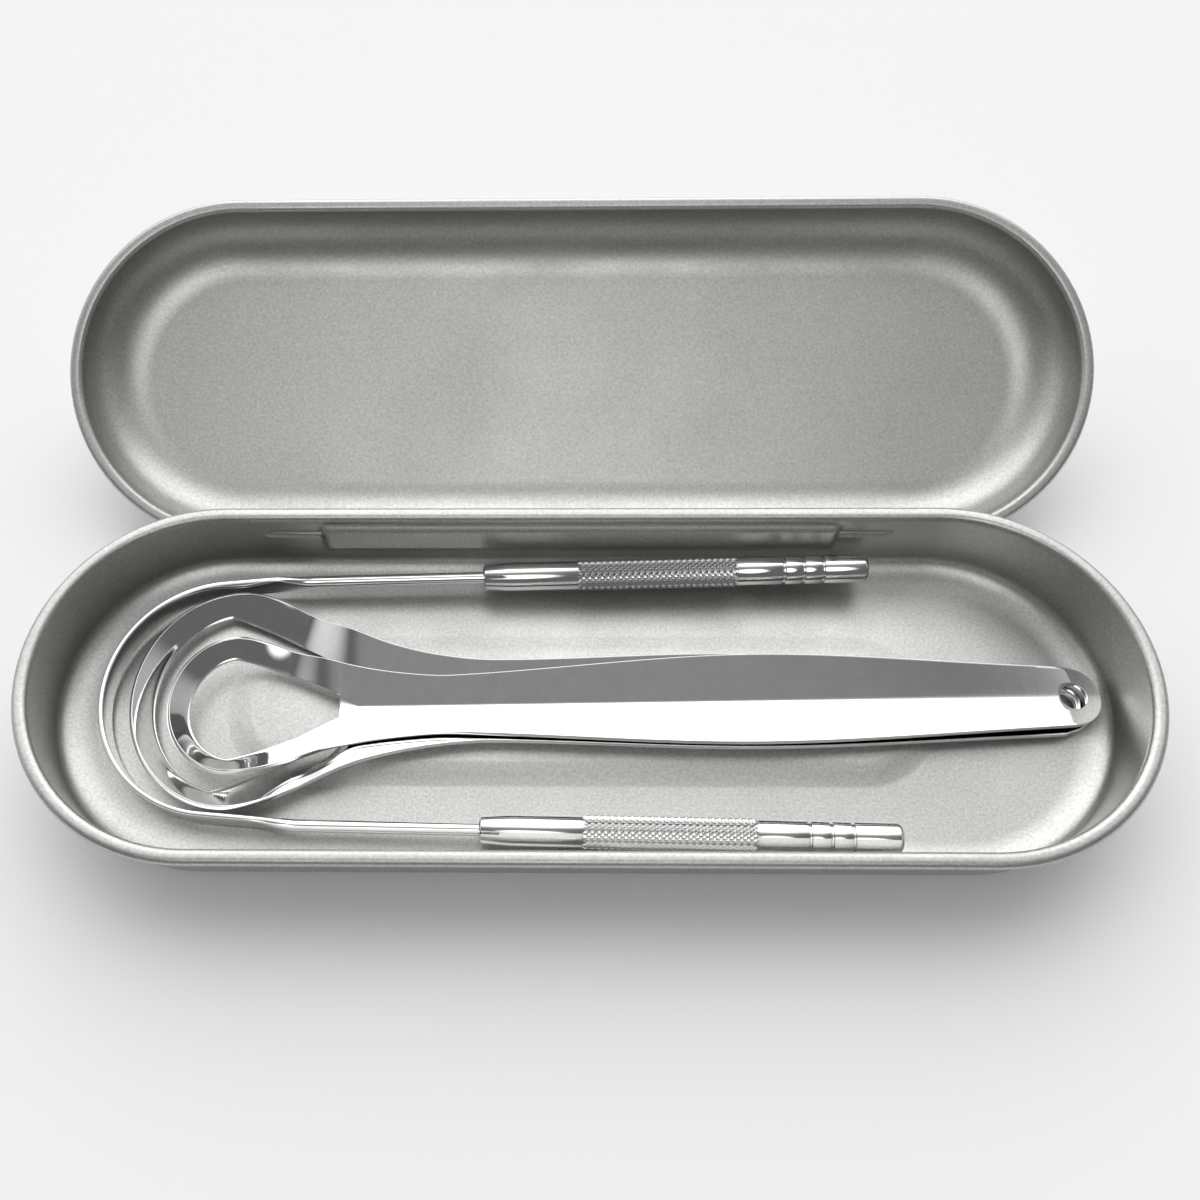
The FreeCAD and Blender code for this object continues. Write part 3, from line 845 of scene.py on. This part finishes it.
camera.matrix_world = Matrix.Translation(camera_target + back * camera_distance) @ turn.to_4x4()
camera.data.sensor_width = 36
camera.data.lens = focal / photo_side * camera.data.sensor_width
camera.data.shift_x = (photo_side / 2 - optical_centre) / photo_side
camera.data.clip_start = 0.01
scene.collection.objects.link(camera)
scene.camera = camera

# Table
# A plain white matt tabletop that the tin stands on, reaching three metres out on every side. It is part
# of the stage and not of the object.
table_half = 3.0
bm = bmesh.new()
bmesh.ops.create_grid(bm, x_segments=1, y_segments=1, size=table_half)
mesh = bpy.data.meshes.new("table")
bm.to_mesh(mesh)
bm.free()
white = bpy.data.materials.new("white_table")
white.use_nodes = True
surface = white.node_tree.nodes["Principled BSDF"]
surface.inputs["Base Color"].default_value = (0.92, 0.92, 0.92, 1.0)
surface.inputs["Roughness"].default_value = 0.8
mesh.materials.append(white)
table = bpy.data.objects.new("table", mesh)
scene.collection.objects.link(table)

# Studio light
# A dim white room with one large soft window behind the table, smaller ones at its left, right and front
# sides, and a faint glow from the ceiling.
room_level = 0.15
windows = (
    (0, 40, 54, 14, 2.3),
    (-72, 30, 36, 8, 0.8),
    (72, 30, 36, 8, 0.35),
    (180, 60, 20, 5, 2.3),
    (180, 88, 30, 8, 0.14),
)
world = bpy.data.worlds.new("studio")
scene.world = world
world.use_nodes = True
nodes, links = world.node_tree.nodes, world.node_tree.links
sky = nodes["Background"]
sky.inputs["Color"].default_value = (1.0, 1.0, 1.0, 1.0)
direction = nodes.new("ShaderNodeTexCoord").outputs["Generated"]


def add_window(turn, rise, outer, inner, strength):
    """Glow of a soft round window: turn from the back, rise and both reaches in degrees."""
    turn, rise = math.radians(turn), math.radians(rise)
    towards = nodes.new("ShaderNodeVectorMath")
    towards.operation = "DOT_PRODUCT"
    links.new(direction, towards.inputs[0])
    flat = math.cos(rise)
    towards.inputs[1].default_value = (flat * math.sin(turn), flat * math.cos(turn), math.sin(rise))
    glow = nodes.new("ShaderNodeMapRange")
    glow.interpolation_type = "SMOOTHSTEP"
    glow.inputs["From Min"].default_value = math.cos(math.radians(outer))
    glow.inputs["From Max"].default_value = math.cos(math.radians(inner))
    glow.inputs["To Max"].default_value = strength
    links.new(towards.outputs["Value"], glow.inputs["Value"])
    return glow.outputs["Result"]


level = None
for window in windows:
    total = nodes.new("ShaderNodeMath")
    total.operation = "ADD"
    total.inputs[0].default_value = room_level
    if level is not None:
        links.new(level, total.inputs[0])
    links.new(add_window(*window), total.inputs[1])
    level = total.outputs["Value"]
links.new(level, sky.inputs["Strength"])
